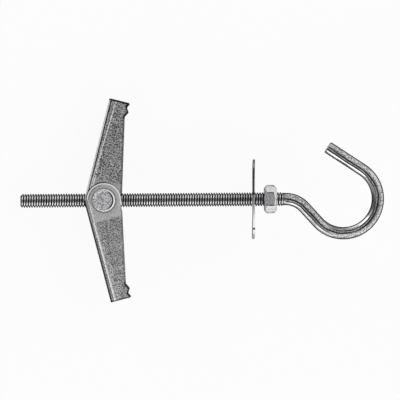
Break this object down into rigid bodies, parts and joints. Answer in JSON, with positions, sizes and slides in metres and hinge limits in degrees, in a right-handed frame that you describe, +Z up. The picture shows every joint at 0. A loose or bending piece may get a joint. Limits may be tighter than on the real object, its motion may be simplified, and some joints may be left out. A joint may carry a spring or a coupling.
{
  "type": "toggle anchor",
  "caption": "Spring toggle anchor for hollow ceilings: a threaded rod bent into an open hook, with sprung folding sheet wings, a wide washer and a hexagon lock nut.",
  "frame": {"origin": "on the floor under the middle of the lying anchor's outline", "axes": "+X along the rod from its free end towards the hook, level; +Y across the open wings, from wing b to wing a; +Z up from the floor. The rod itself climbs towards the hook by 6.51 degrees and the anchor rolls 2.49 degrees onto wing a, as it comes to rest on its washer, its pivot barrel and one wing."},
  "size_m": [0.0994, 0.0562, 0.0218],
  "materials": {
    "bright_zinc": "bright zinc plated steel wire, smooth with lengthwise drawing marks",
    "nut_zinc": "bright zinc plated steel, tumbled, slightly worn edges",
    "sheet_zinc": "zinc plated sheet steel with a fine mottled grain",
    "pin_zinc": "zinc plated turned steel with a grainy end face and a burnished riveted rim",
    "spring_steel": "drawn spring wire, dark and smooth"
  },
  "bodies": {
    "hook_bolt": {"hook_bolt": "bright_zinc"},
    "barrel": {"pivot_barrel": "pin_zinc", "torsion_spring": "spring_steel"},
    "wing_a": {"wing_a": "sheet_zinc"},
    "wing_b": {"wing_b": "sheet_zinc"},
    "washer": {"washer": "nut_zinc"},
    "nut": {"hex_nut": "nut_zinc"}
  },
  "joints": [
    {"name": "toggle_travel", "type": "slide", "parent": "hook_bolt", "child": "barrel", "axis": [0.9935, 0.0049, 0.1133], "range_m": [-0.0195, 0.008]},
    {"name": "wing_a_fold", "type": "hinge", "parent": "barrel", "child": "wing_a", "pos_m": [-0.02665, 0, 0.00627], "axis": [0.1135, -0.0432, -0.9926], "range_deg": [0, 75], "stiffness_Nm_per_rad": 0.02, "springref_deg": -20.05, "deforming": ["torsion_spring"]},
    {"name": "wing_b_fold", "type": "hinge", "parent": "barrel", "child": "wing_b", "pos_m": [-0.02665, 0, 0.00627], "axis": [-0.1135, 0.0432, 0.9926], "range_deg": [0, 75], "stiffness_Nm_per_rad": 0.02, "springref_deg": -20.05, "deforming": ["torsion_spring"]},
    {"name": "washer_slide", "type": "slide", "parent": "hook_bolt", "child": "washer", "axis": [0.9935, 0.0049, 0.1133], "range_m": [-0.004, 0.0012]},
    {"name": "nut_travel", "type": "slide", "parent": "hook_bolt", "child": "nut", "axis": [0.9935, 0.0049, 0.1133], "range_m": [-0.0012, 0.0015]}
  ]
}
